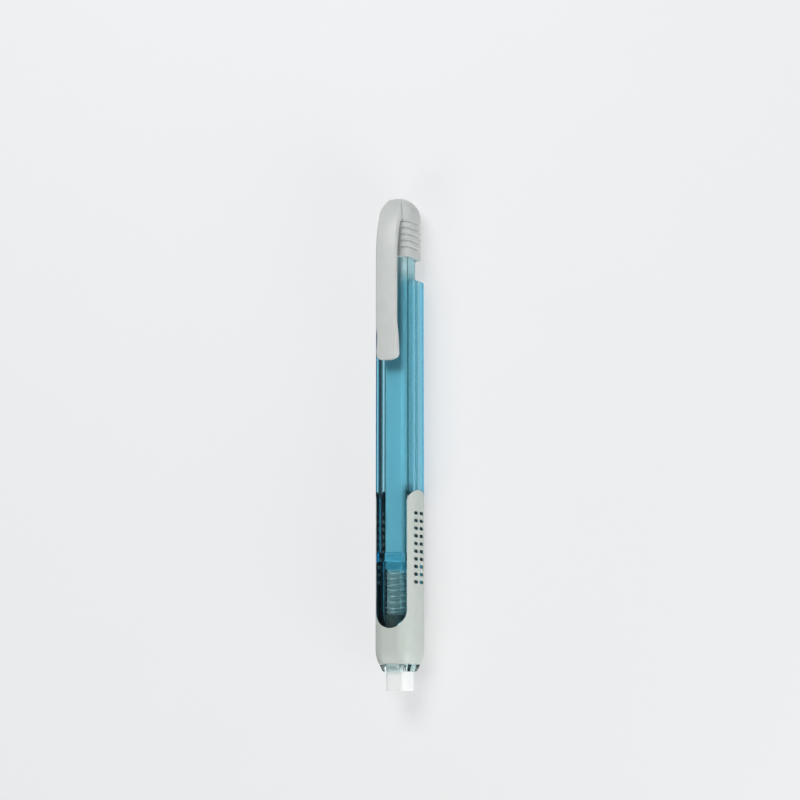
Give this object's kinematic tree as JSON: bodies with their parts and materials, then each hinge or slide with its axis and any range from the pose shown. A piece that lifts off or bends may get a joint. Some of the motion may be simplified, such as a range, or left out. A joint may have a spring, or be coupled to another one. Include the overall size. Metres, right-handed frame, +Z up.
{
  "type": "click eraser pen",
  "caption": "Slim push-button eraser pen: clear square barrel, grey slotted grip and clip button, and a white eraser stick fed through a fingered clutch.",
  "frame": {"origin": "middle of the box the pen fills, on the surface it lies on, with the button out and the clip closed", "axes": "+Y along the pen from the eraser to the button, +Z up out of the clip's face, +X to the right of the clip"},
  "size_m": [0.0124, 0.142, 0.0152],
  "materials": {
    "clear_blue": "clear tinted, polished",
    "clear_teal": "clear tinted, polished",
    "grip_grey": "fine satin",
    "button_grey": "satin moulded",
    "spring_steel": "drawn wire",
    "eraser_white": "smooth matt vinyl"
  },
  "bodies": {
    "body": {"barrel": "clear_blue", "grip_sleeve": "grip_grey", "return_spring": "spring_steel"},
    "carrier": {"inner_tube": "clear_teal", "chuck_collar": "clear_teal", "push_button": "button_grey"},
    "clip": {"pocket_clip": "button_grey"},
    "stick": {"eraser": "eraser_white"},
    "jaw_top": {"chuck_jaw_top": "clear_teal"},
    "jaw_right": {"chuck_jaw_right": "clear_teal"},
    "jaw_bottom": {"chuck_jaw_bottom": "clear_teal"},
    "jaw_left": {"chuck_jaw_left": "clear_teal"}
  },
  "joints": [
    {"name": "button_press", "type": "slide", "parent": "body", "child": "carrier", "axis": [0, -1, 0], "range_m": [0, 0.005], "stiffness_N_per_m": 700, "springref_m": -0.002, "deforming": ["return_spring"]},
    {"name": "clip_flex", "type": "hinge", "parent": "carrier", "child": "clip", "pos_m": [0, 0.0704, 0.0094], "axis": [-1, 0, 0], "range_deg": [0, 6], "stiffness_Nm_per_rad": 2.5, "springref_deg": -1.15},
    {"name": "eraser_feed", "type": "slide", "parent": "carrier", "child": "stick", "axis": [0, -1, 0], "range_m": [-0.006, 0.02]},
    {"name": "jaw_top_open", "type": "hinge", "parent": "carrier", "child": "jaw_top", "pos_m": [0, -0.03723, 0.0098], "axis": [-1, 0, 0], "range_deg": [0, 1]},
    {"name": "jaw_right_open", "type": "hinge", "parent": "carrier", "child": "jaw_right", "pos_m": [0.0036, -0.03723, 0.0062], "axis": [0, 0, 1], "range_deg": [0, 1]},
    {"name": "jaw_bottom_open", "type": "hinge", "parent": "carrier", "child": "jaw_bottom", "pos_m": [0, -0.03723, 0.0026], "axis": [1, 0, 0], "range_deg": [0, 1]},
    {"name": "jaw_left_open", "type": "hinge", "parent": "carrier", "child": "jaw_left", "pos_m": [-0.0036, -0.03723, 0.0062], "axis": [0, 0, -1], "range_deg": [0, 1]}
  ],
  "couplings": [
    {"joint": "jaw_top_open", "follows": "button_press", "rad_per_m": 3.49},
    {"joint": "jaw_right_open", "follows": "button_press", "rad_per_m": 3.49},
    {"joint": "jaw_bottom_open", "follows": "button_press", "rad_per_m": 3.49},
    {"joint": "jaw_left_open", "follows": "button_press", "rad_per_m": 3.49}
  ]
}
